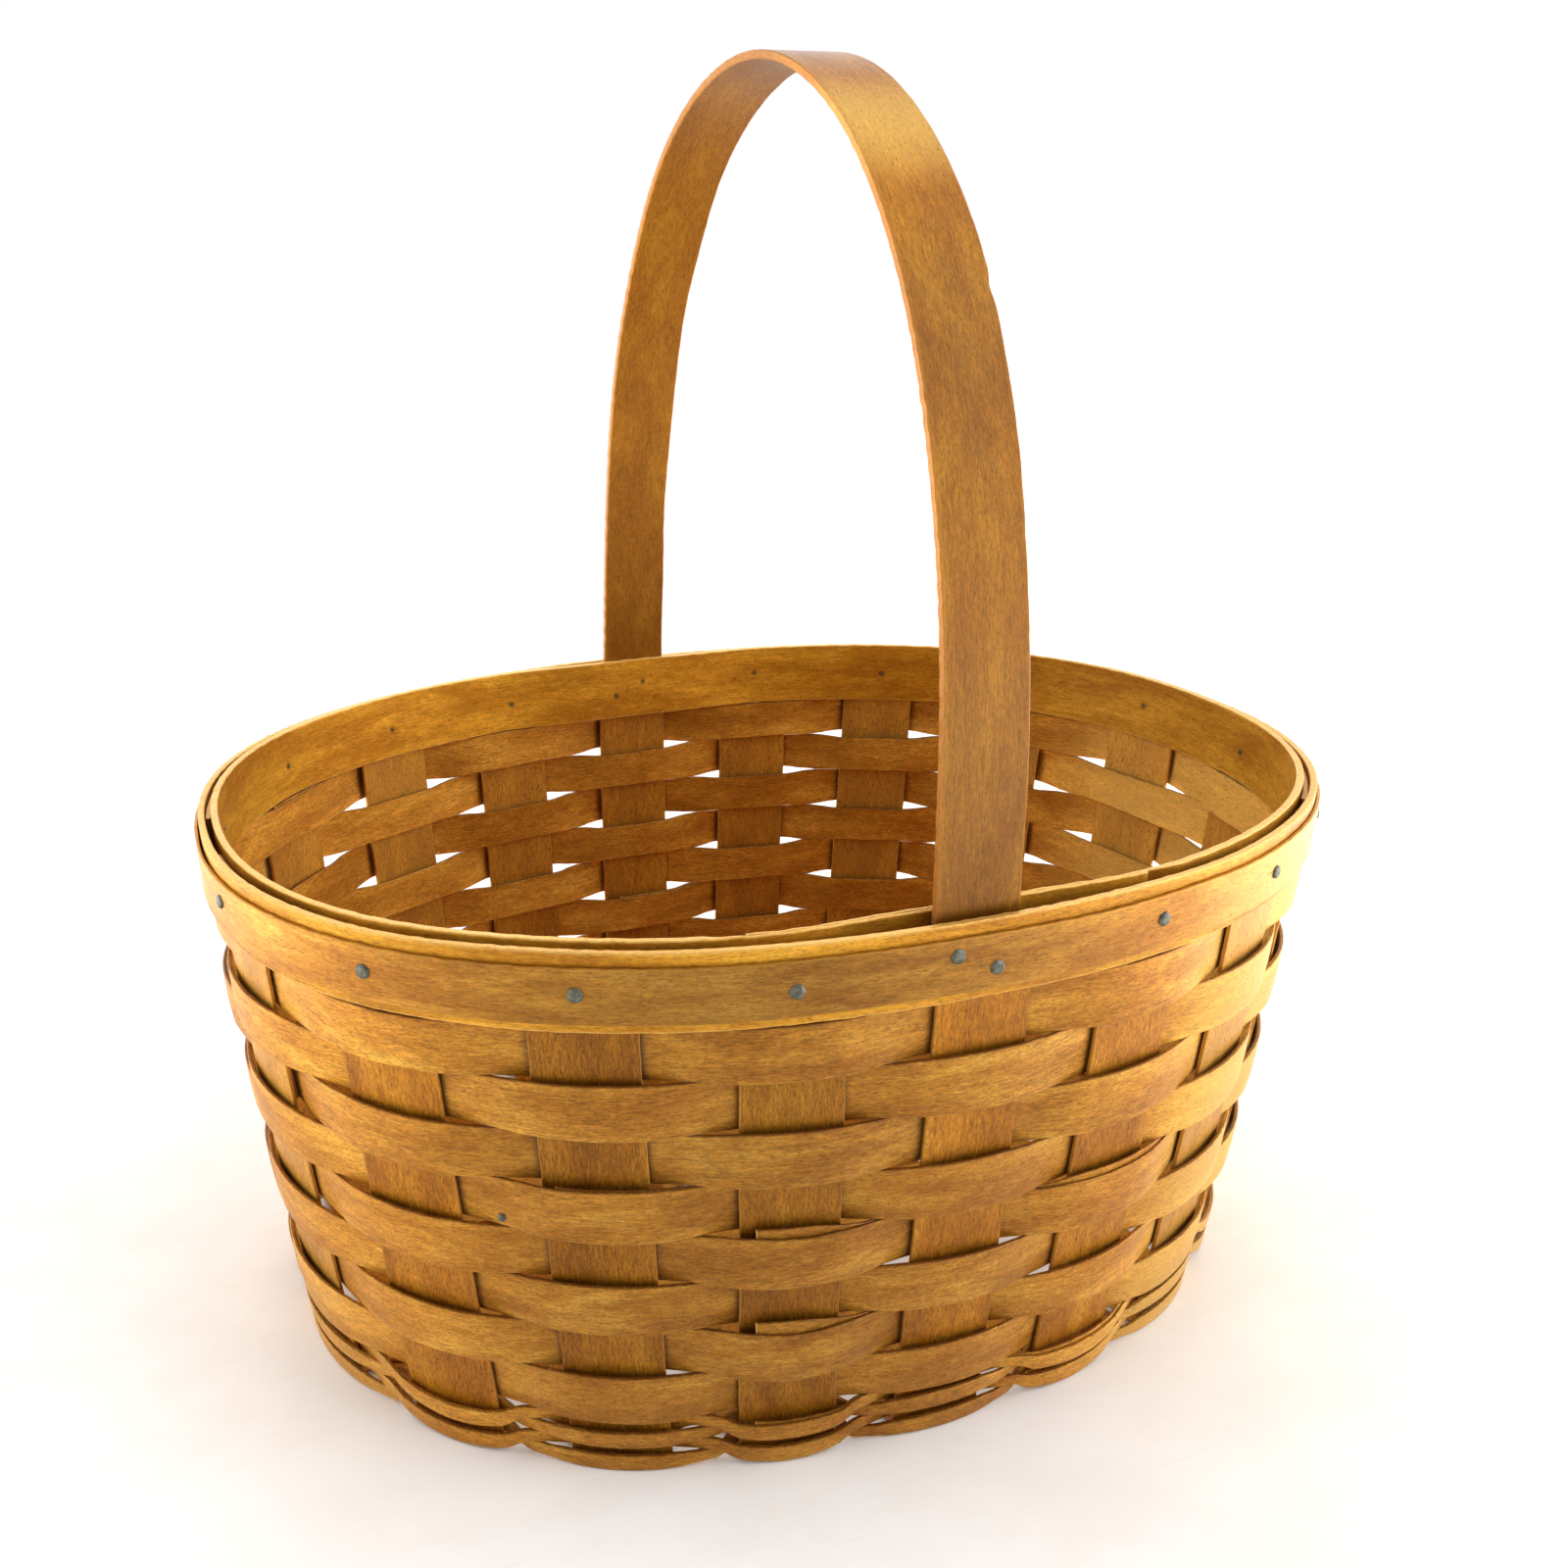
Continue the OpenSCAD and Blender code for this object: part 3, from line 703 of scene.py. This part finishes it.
cross_middles = []
for i, tone in enumerate(CROSS_TONES_AND_LIGHT, 1):
    offset = (i - middle_cross) * CROSS_PITCH
    cross_middles.append(splint(f"cross_splint_{i}", offset, 2 * QUARTER - offset, 1, level_base,
                                100 + 10 * i, tone))
for i in range(1, LONG_COUNT + 1):
    offset = (i - middle_long) * LONG_PITCH
    splint(f"long_splint_{i}", QUARTER + offset, 3 * QUARTER - offset, 0, long_levels(i, cross_middles),
           200 + 10 * i, LONG_LIGHT_TONE)


# ---- Weaver rows ----

def wall_light_and_dark(u, pale, dark, dark_place, dark_reach):
    """Tone of a strip round the wall: painted light, paler to the left and right of the front where the side
    lights fall, and dark round one place.
    """
    place = from_front(u)
    right = between(fade(np.abs(place), *END_FADE), RIGHT_LIGHT_TONE, RIGHT_END_LIGHT_TONE)
    ends = right * fade(place, *RIGHT_FADE) + LEFT_LIGHT_TONE * fade(-place, *LEFT_FADE)
    return pale * ends - dark * hump(place, dark_place, dark_reach)


def sag(line, place):
    """How far the line under a row lies below its even height."""
    share = math.sin(math.pi * line / SAG_ROWS)
    return ROW_SAG * share * hump(from_front(place), SAG_PLACE, SAG_REACH)


def line_height(line, place):
    """Height of the line between one row and the next."""
    return WALL_TOP - line * ROW_PITCH - sag(line, place)


def weave(row, place):
    """How a row lies at a place: how far out it is, its side (1 outside, -1 inside), how far it has gone from
    the upright's middle to its edge, and from there to the crossing."""
    reach = splint_reach(line_height(row - 0.5, place) if row <= FULL_ROWS else FOOT_TOP / 2)
    s = np.mod(place, ROUND)
    ring = np.concatenate([upright_places, [ROUND]])
    nearest = np.argmin(np.abs(s[..., None] - ring), -1)
    d = s - ring[nearest]
    side = np.where((nearest % UPRIGHT_COUNT + row) % 2 == 0, 1, -1)
    left = np.diff(np.concatenate([[upright_places[-1] - ROUND], ring]))[nearest]
    right = np.diff(np.concatenate([ring, [ROUND + upright_places[1]]]))[nearest]
    half_space = np.where(d < 0, left, right) / 2
    j = np.clip(np.abs(d) / reach, 0, 1)
    t = np.clip((np.abs(d) - reach) / (half_space - reach), 0, 1)
    # The back's weavers stand off a little further, which opens the slits there
    swing, squareness = (between(front_share(place), *pair) for pair in (SWING, SQUARENESS))
    x = np.clip(np.abs(d) / half_space, 0, 1)
    out = side * (swing * np.cos(np.pi / 2 * x) - squareness * np.cos(1.5 * np.pi * x))
    return out, side, j, t


def full_edges(row, place):
    """Lower and upper edge of a full row: narrower beside the uprights at the back, and fuller in front."""
    out, side, j, t = weave(row, place)
    front = front_share(place)
    waist = 0.75 * (1 - front) * (1 - smooth(t * 1.1))
    fullness = front * (0.3 + 0.2 * (side > 0)) * (1 - smooth(t))
    low = line_height(row, place) + CLEARANCE / 2 + waist - fullness
    high = line_height(row - 1, place) - CLEARANCE / 2 - (waist - fullness) * (row > 1)
    return low, high


def foot_edges(row, place):
    """Lower and upper edge of a foot row, which dips where it passes outside an upright."""
    out, side, j, t = weave(row, place)
    upper = row <= FULL_ROWS + FOOT_ROWS // 2
    pitch = (line_height(FULL_ROWS, place) - 2 * CLEARANCE) / FOOT_ROWS
    crossing = 2 * CLEARANCE + (ROW_COUNT - row + 0.5) * pitch
    outside = CLEARANCE + FOOT_WIDTH / 2 + (FOOT_WIDTH + FOOT_GAP) * upper
    inside = INSIDE_FOOT_LEVELS[0 if upper else 1]
    share = between(smooth(t / 0.75), np.where(side > 0, EDGE_RETURN * j**2, 0.0), 1)
    level = between(share, np.where(side > 0, outside, inside), crossing)
    half = between(share, np.where(side > 0, FOOT_WIDTH, INSIDE_FOOT_WIDTH) / 2, pitch / 2 - 0.08)
    return level - half, level + half


def weaver(row):
    """One row: a strip that goes once round the basket and laps over its own start."""
    full = row <= FULL_ROWS
    first = upright_places[LAP_START[row - 1]]
    start = first - splint_reach(line_height(row, first) if full else 0.0) * LAP_TUCK
    lap = LAP_LENGTH[row - 1]
    end = start + ROUND + lap
    u = end_stations(start, end, STATION_STEP)
    seed = 300 + 10 * row
    ragged = 1.0 if full else 0.5
    # The first and last turns lie on each other: the end runs outside the start
    starting = 1 - fade(u, start + lap, LAP_FADE)
    ending = fade(u, end - lap - LAP_FADE, LAP_FADE)
    thick = between(np.maximum(starting, ending), WEAVER_THICK, LAP_THICK)
    layer = LAP_THICK + LAP_CLEARANCE
    # In some rows the covered layer shows above the other where the two pass outside an upright
    covered = 1 - fade(u, start + PEEK_REACH * splint_reach(0.0) - PEEK_FADE, PEEK_FADE)
    peek = PEEK_RISE * ragged * (row in PEEK_ROWS) * covered
    peek = peek + PEEK_ROWS.get(row, 0.0) * hump(u, first + ROUND, LIFT_REACH)
    if lap > 2 * CROSS_PITCH:
        again = start + 2 * CROSS_PITCH + LAP_TUCK * splint_reach(0.0)
        peek = peek + LONG_LAP_RISE * ragged * smooth((30 - np.abs(u - again)) / 20)
    drift = wander(seed, u, 0.10 * ragged, 150) + peek
    low, high = full_edges(row, u) if full else foot_edges(row, u)
    waves = ((0.09 * ragged, 40), (0.05, 7))

    def place_points(along, across, through):
        out = weave(row, along)[0]
        outside = (1 + np.clip(out / LAYER_TURN, -1, 1)) / 2
        inner, outer = np.interp(along, u, starting), np.interp(along, u, ending)
        out = out - inner * layer * (1 - outside) + outer * layer * outside
        return wall_at(along + slip(along, across), across, out + through)

    def painted_corner_shade(along, across, through):
        """Painted shade on the face towards each upright, in the corner beside the upright's edge."""
        out, side, j, t = weave(row, along)
        return 0.75 * full * hump(t, 0, 0.13) * (through * side < 0)

    strip(f"weaver_row_{row}", u, low + drift + rough(seed + 1, u, *waves),
          high + drift + rough(seed + 3, u, *waves), thick, place_points, "weaver_wood", seed=seed,
          bevel=0.22, cup=0.22 if full else 0.1, low_worn=-0.8, stain_and_shade=painted_corner_shade,
          tone=wall_light_and_dark(u, *WEAVER_LIGHT_AND_DARK) + FOOT_TONE * (not full))


for row in range(1, ROW_COUNT + 1):
    weaver(row)


# ---- Rim ----
rng = np.random.default_rng(77)
rim_tack_places = [(p + slip(p, TACK_HEIGHT) + rng.uniform(-0.8, 0.8), TACK_HEIGHT + rng.uniform(-1.4, 1.4))
                   for k, p in enumerate(upright_places) if k % (UPRIGHT_COUNT // 2)]
handle_tack_places = [(2 * QUARTER * n + HANDLE_TACK_SLIP * (1 - 2 * n) + side * HANDLE_TACK_OFFSET,
                       TACK_HEIGHT - side * HANDLE_TACK_STEP / 2) for n in (0, 1) for side in (-1, 1)]


def tack_offset(along, across):
    """How far each point lies from the nearest tack, along the wall and up."""
    places = np.array(rim_tack_places + handle_tack_places)
    run = np.mod(along[..., None] - places[:, 0] + ROUND / 2, ROUND) - ROUND / 2
    rise = across[..., None] - places[:, 1]
    nearest = np.argmin(np.abs(run), -1)[..., None]
    run, rise = (np.take_along_axis(values, nearest, -1)[..., 0] for values in (run, rise))
    return np.stack([run, rise, 0 * across], -1).reshape(-1, 3)


def handle_bend(place):
    """How far the inner band bends in round the handle's tails."""
    s = np.mod(place, ROUND)
    near = np.minimum(np.minimum(s, np.abs(s - 2 * QUARTER)), ROUND - s)
    return (HANDLE_THICK + CLEARANCE) * (1 - fade(near, BEND_FLAT, BEND_FADE))


def band(name, bottom, top, shape, slot, start, end, seed, bevel, tack=None):
    """A rim band from one place to another. shape(u) gives its middle's distance from the wall, its thickness
    and its tone."""
    turns = [p + turn * ROUND for p, z in rim_tack_places + handle_tack_places for turn in (-1, 0, 1, 2)]
    extra = [p + step for p in turns for step in (-2, -1, 0, 1, 2) if start + 4 < p < end - 4]
    u = end_stations(start, end, BAND_STEP, extra)
    low = bottom + rough(seed + 1, u, (0.16, 90), (0.07, 8))
    high = top + rough(seed + 3, u, (0.16, 90), (0.08, 6))
    out, thick, tone = shape(u)

    def place_points(along, across, through):
        return wall_at(along, across, np.interp(along, u, out) + through)

    strip(name, u, low, high, thick, place_points, slot, seed=seed, bevel=bevel, tone=tone, tack=tack)


def inner_shape(u):
    """The inner band, whose last end lies outside its first one from beside the handle to beyond it."""
    first = 1 - fade(u, INNER_LAP_END, INNER_LAP_FADE)
    last = fade(u, ROUND + INNER_LAP_START - INNER_LAP_FADE, INNER_LAP_FADE)
    thin_inner, thin_outer = (BAND_THICK - INNER_LAP_INNER) * first, (BAND_THICK - INNER_LAP_OUTER) * last
    out = INNER_OUT - handle_bend(u) - 0.35 * np.maximum(first, last) - thin_inner / 2 + thin_outer / 2
    tone = between(fade(np.abs(from_front(u)), *INNER_FADE), *INNER_LIGHT_TONES)
    return out, BAND_THICK - thin_inner - thin_outer, tone


def outer_shape(u):
    """The outer band, drawn in a little at both ends of the basket."""
    ends = hump(np.abs(from_front(u)), QUARTER, 20)
    return OUTER_OUT - 0.2 * ends, BAND_THICK - 0.15 * ends, 0.0


def trim_shape(u):
    """The trim strip, thinner and sprung off the outer band at both ends of the basket."""
    out, thick = TRIM_OUT, TRIM_THICK
    for place, reach, gap in TRIM_SPRINGS:
        spring = hump(from_front(u), place, reach)
        out, thick = out + gap * spring, thick - 0.3 * spring
    return out, thick, wall_light_and_dark(u, *TRIM_LIGHT_AND_STAIN)


band("inner_band", WALL_TOP, RIM_HEIGHT, inner_shape, "band_wood", INNER_LAP_START, ROUND + INNER_LAP_END,
     seed=500, bevel=0.32, tack=tack_offset)
band("outer_band", WALL_TOP + SEAM_GAP, OUTER_TOP, outer_shape, "band_wood", OUTER_SEAM,
     OUTER_SEAM + ROUND - SEAM_GAP, seed=520, bevel=0.32)
band("trim_strip", TRIM_BOTTOM, TRIM_TOP, trim_shape, "trim_wood", TRIM_SEAM, TRIM_SEAM + ROUND - SEAM_GAP,
     seed=540, bevel=0.22, tack=tack_offset)


# ---- Handle ----

def handle_line():
    """The middle line of the handle in the plane across the basket, from the back tail to the front one."""
    a = np.radians(np.linspace(0, 180, 721))
    half_span = RIM_WIDTH / 2 + HANDLE_OUT
    middle_rise = HANDLE_TOP - HANDLE_THICK / 2 - RIM_HEIGHT
    y = half_span * np.cos(a)
    z = RIM_HEIGHT + middle_rise * np.clip(np.sin(a), 0, None) ** SHOULDER_POWER
    tail_z = np.linspace(TAIL_END, RIM_HEIGHT, 13)[:-1]
    tail_y = np.interp(tail_z, [TAIL_END, RIM_HEIGHT], [half_span - SIDE_FLARE * taper(TAIL_END), half_span])
    return np.concatenate([tail_y, y, -tail_y[::-1]]), np.concatenate([tail_z, z, tail_z[::-1]])


def handle_light_and_shade(share):
    """Painted light and shade: a painted highlight just in front of the handle's top, painted shade on the
    top, and darker down the front.
    """
    return (2.2 * hump(share, 0.61, 0.05) - 1.2 * hump(share, 0.50, 0.05)
            - 0.7 * fade(share, 0.66, 0.06) - 0.7 * fade(share, 0.82, 0.08))


def handle():
    """The bent strip, stained by hands, with a rough left edge."""
    line_y, line_z = handle_line()
    arc = np.concatenate([[0], np.cumsum(np.hypot(np.diff(line_y), np.diff(line_z)))])
    length = arc[-1]
    u = end_stations(0, length, STATION_STEP)
    u_y, u_z = np.interp(u, arc, line_y), np.interp(u, arc, line_z)
    run_y, run_z = np.gradient(u_y, u), np.gradient(u_z, u)
    stretch = np.hypot(run_y, run_z)
    # The right edge has a small nick high up in front
    low = -HANDLE_WIDTH / 2 + rough(601, u, (0.16, 90), (0.10, 5))
    high = HANDLE_WIDTH / 2 + rough(603, u, (0.16, 90), (0.05, 8)) - 0.8 * hump(u, 0.70 * length, 3)

    def blotches(along, across, through):
        """Cloudy dark stain in the middle of the front half, where hands have worn and soiled the wood."""
        patch = hump(along / length, 0.74, 0.09) * hump(across, 1.0, 7.0)
        cloudy = 0.5 + wander(611, along, 0.35, 26) + wander(612, across * 3 + along * 0.4, 0.25, 30)
        return np.clip(0.42 * patch * cloudy, 0, 0.5)

    def place_points(along, across, through):
        y, z = np.interp(along, u, u_y), np.interp(along, u, u_z)
        out_y, out_z = np.interp(along, u, run_z / stretch), np.interp(along, u, -run_y / stretch)
        return np.stack([across, y + out_y * through, z + out_z * through], -1)

    strip("handle", u, low, high, HANDLE_THICK, place_points, "handle_wood", seed=600, bevel=0.4,
          tone=handle_light_and_shade(u / length), stain_and_shade=blotches)


handle()


# ---- Tacks ----

def tack_mesh(place, z, face, depth, scale, rng):
    """Points and faces of one tack: a hammered dome on a shank that ends in a point."""
    profile = [(share * TACK_RADIUS, height * TACK_RISE) for share, height in HEAD_PROFILE]
    profile += [(SHANK_RADIUS, 0.0), (SHANK_RADIUS, -depth * SHANK_STRAIGHT), (TIP_RADIUS, -depth)]
    segments = 24
    tilt = rng.uniform(-0.05, 0.05, 2)
    angles = np.arange(segments) * 2 * np.pi / segments
    dents = 0.045 * np.cos(angles * 6 + rng.uniform(0, 6))
    wobble = 1 + dents + rng.uniform(-0.012, 0.012, segments)
    centre = wall_at(np.float64(place), np.float64(z), np.float64(face))
    out = np.append(wall_normal(np.float64(place), np.float64(z)), 0)
    sideways = np.array([-out[1], out[0], 0])
    up = np.array([0, 0, 1.0])
    points, faces = [centre + out * profile[0][1] * scale], []
    for r, h in profile[1:]:
        for angle, share in zip(angles, wobble):
            a, b = r * scale * share * math.cos(angle), r * scale * share * math.sin(angle)
            lift = h * scale * (1 + (tilt[0] * a + tilt[1] * b) * (h > 0))
            points.append(centre + out * lift + sideways * a + up * b)
    for n in range(segments):
        faces.append([0, 1 + n, 1 + (n + 1) % segments])
    for ring in range(len(profile) - 2):
        for n in range(segments):
            here, after = 1 + ring * segments + n, 1 + ring * segments + (n + 1) % segments
            faces.append([here, here + segments, after + segments, after])
    last = 1 + (len(profile) - 2) * segments
    faces.append([last + n for n in range(segments)][::-1])
    return points, faces


def tacks(name, rows, seed):
    """All the tacks of one node in one piece. rows holds each tack's place, height, face, depth and scale."""
    rng = np.random.default_rng(seed)
    points, faces = [], []
    for row in rows:
        new_points, new_faces = tack_mesh(*row, rng)
        faces += [[i + len(points) for i in f] for f in new_faces]
        points += new_points
    points = np.array(points)
    mesh_object(name, points, faces, "tack_steel", {"grain": points + 37.0})


def trim_face(place):
    """How far out the trim strip's face is."""
    out, thick, tone = trim_shape(np.float64(place))
    return float(out + thick / 2)


rim_depth = TRIM_OUT + TRIM_THICK / 2 - INNER_OUT + BAND_THICK / 2 + TIP_REACH
tacks("rim_tacks", [(p, z, trim_face(p), rim_depth, 1.0) for p, z in rim_tack_places], 71)
tacks("handle_tacks", [(p, z, trim_face(p), rim_depth + HANDLE_THICK + CLEARANCE, 1.0)
                       for p, z in handle_tack_places], 72)
pinned = (upright_places[UPRIGHT_COUNT - 3] + upright_places[UPRIGHT_COUNT - 2]) / 2
pinned_height = float(line_height(PINNED_ROW, pinned)) + PINNED_RISE
pinned_out = float(weave(PINNED_ROW, np.array([pinned]))[0][0]) + WEAVER_THICK / 2 + LAP_THICK / 2
pinned_place = pinned + slip(pinned, pinned_height)
tacks("weaver_tack", [(pinned_place, pinned_height, pinned_out, WEAVER_THICK + LAP_THICK, PINNED_SCALE)], 73)


# ---- Floor, light and camera ----

def direction(azimuth, elevation):
    """Unit vector from the basket, in degrees. Azimuth 0 is the front, towards -Y."""
    azimuth, elevation = math.radians(azimuth), math.radians(elevation)
    return Vector((math.sin(azimuth) * math.cos(elevation), -math.cos(azimuth) * math.cos(elevation),
                   math.sin(elevation)))


def floor():
    """A plain pale floor that fades, away from the basket, into the same white as the room."""
    mesh = bpy.data.meshes.new("floor")
    corners = [(x * FLOOR_REACH, y * FLOOR_REACH, 0) for x, y in ((-1, -1), (1, -1), (1, 1), (-1, 1))]
    mesh.from_pydata(corners, [], [(0, 1, 2, 3)])
    thing = bpy.data.objects.new("floor", mesh)
    bpy.context.scene.collection.objects.link(thing)
    material = bpy.data.materials.new("floor_paint")
    net = Network(material)
    place = net.coordinates("Object")
    mottle = net.noise(net.scaled(place, (0.05, 0.03, 0.03)), 4.0, 0.6)
    scratch = net.noise(net.scaled(place, (0.06, 0.0012, 0.05)), 2.0, 0.6, 0.4)
    colour = net.mix(net.span(mottle, 0.35, 0.65), linear(246, 245, 243), linear(250, 250, 249))
    colour = net.mix(net.span(scratch, 0.70, 0.78, 0.0, 0.3), colour, linear(214, 210, 202))
    net.paint(Base_Color=colour, Roughness=0.6, Specular_IOR_Level=0.2)
    mesh.materials.append(material)
    # The faded part is brightly lit to the left and right of the view
    away = net.length(place)
    share = net.math("DIVIDE", net.along(place, direction(CAMERA_AZIMUTH + 90, 0)), away)
    glow = net.node("Emission")
    net.put(glow.inputs["Strength"],
            net.math("MULTIPLY_ADD", net.math("MULTIPLY", share, share), SIDE_GLOW, FLOOR_GLOW))
    net.show_mix("Material Output", net.span(away, *GLOW_RADII), "Principled BSDF", glow)


def room():
    """Soft lights all round. Seen directly, the room is plain white."""
    world = bpy.data.worlds.new("studio")
    net = Network(world)
    toward = net.coordinates("Generated")
    strength = AMBIENT
    for azimuth, elevation, sharpness, power in ROOM_LIGHTS:
        facing = net.along(toward, direction(azimuth + CAMERA_AZIMUTH, elevation))
        lobe = net.math("POWER", net.math("MAXIMUM", facing), sharpness)
        strength = net.math("MULTIPLY_ADD", lobe, power, strength)
    white = (1, 1, 1, 1)
    net.paint("Background", Color=white, Strength=strength)
    seen = net.node("LightPath").outputs["Is Camera Ray"]
    net.show_mix("World Output", seen, "Background", net.node("Background", white, 1.0))
    bpy.context.scene.world = world
    bpy.context.scene.view_settings.view_transform = "Standard"


def camera():
    """The photograph's view. Roll turns the camera about its own line of sight."""
    back = direction(CAMERA_AZIMUTH, CAMERA_ELEVATION)
    level = direction(CAMERA_AZIMUTH + 90, 0)
    upward = back.cross(level)
    roll = math.radians(CAMERA_ROLL)
    right = level * math.cos(roll) + upward * math.sin(roll)
    up = upward * math.cos(roll) - level * math.sin(roll)
    data = bpy.data.cameras.new("camera")
    data.lens, (data.shift_x, data.shift_y) = CAMERA_LENS, CAMERA_SHIFT
    thing = bpy.data.objects.new("camera", data)
    turn = Matrix((right, up, back)).transposed().to_4x4()
    thing.matrix_world = Matrix.Translation(CAMERA_TARGET + back * CAMERA_DISTANCE) @ turn
    bpy.context.scene.collection.objects.link(thing)
    bpy.context.scene.camera = thing


floor()
room()
camera()
